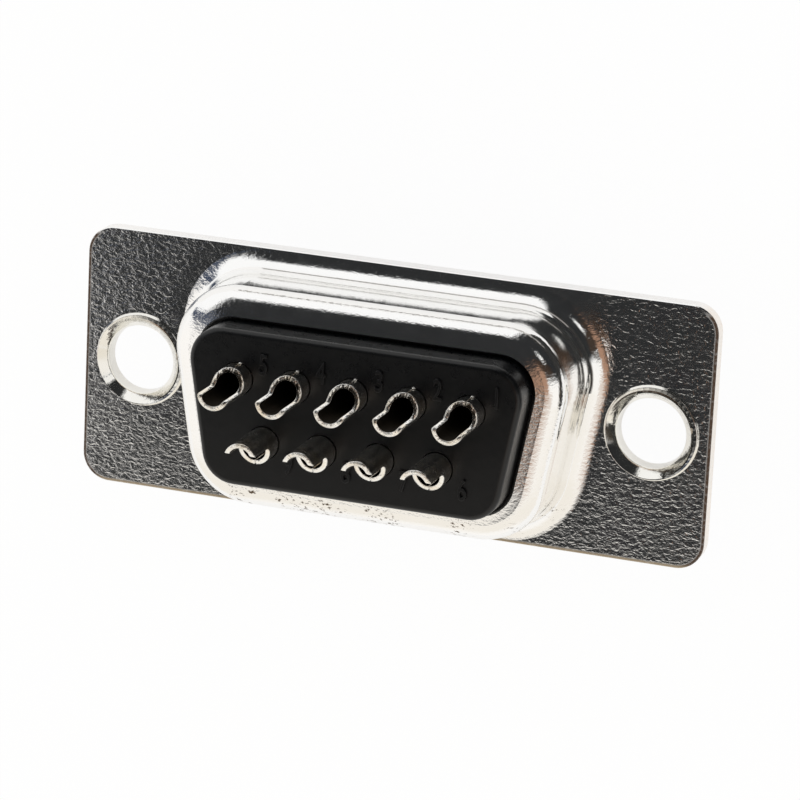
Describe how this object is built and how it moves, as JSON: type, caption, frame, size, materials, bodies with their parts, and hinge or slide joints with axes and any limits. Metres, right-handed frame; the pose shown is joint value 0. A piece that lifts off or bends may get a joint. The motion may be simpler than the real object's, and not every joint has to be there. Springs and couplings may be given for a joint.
{
  "type": "d-sub connector",
  "caption": "D-sub plug connector with solder cups: plated flange shell with eyelet mounting holes, black insulator and staggered contact rows.",
  "frame": {"origin": "midway between the two mounting holes, on the mounting (front) face of the flange", "axes": "+X along the flange towards contact 1, +Y towards the wide row of contacts, +Z out of the solder side"},
  "size_m": [0.0306, 0.0124, 0.0152],
  "materials": {
    "plated_shell": "tin-plated drawn steel sheet with a fine orange-peel grain",
    "plated_eyelet": "bright nickel-plated eyelet",
    "insulator": "black glass-filled moulded plastic, semi-matt",
    "contact": "tin-plated brass, warm where the plating is thin"
  },
  "bodies": {
    "root": {"front_shell": "plated_shell", "rear_shell": "plated_shell", "eyelet_left": "plated_eyelet", "eyelet_right": "plated_eyelet", "front_insulator": "insulator", "rear_insulator": "insulator", "contact_1": "contact", "contact_2": "contact", "contact_3": "contact", "contact_4": "contact", "contact_5": "contact", "contact_6": "contact", "contact_7": "contact", "contact_8": "contact", "contact_9": "contact"}
  },
  "joints": []
}
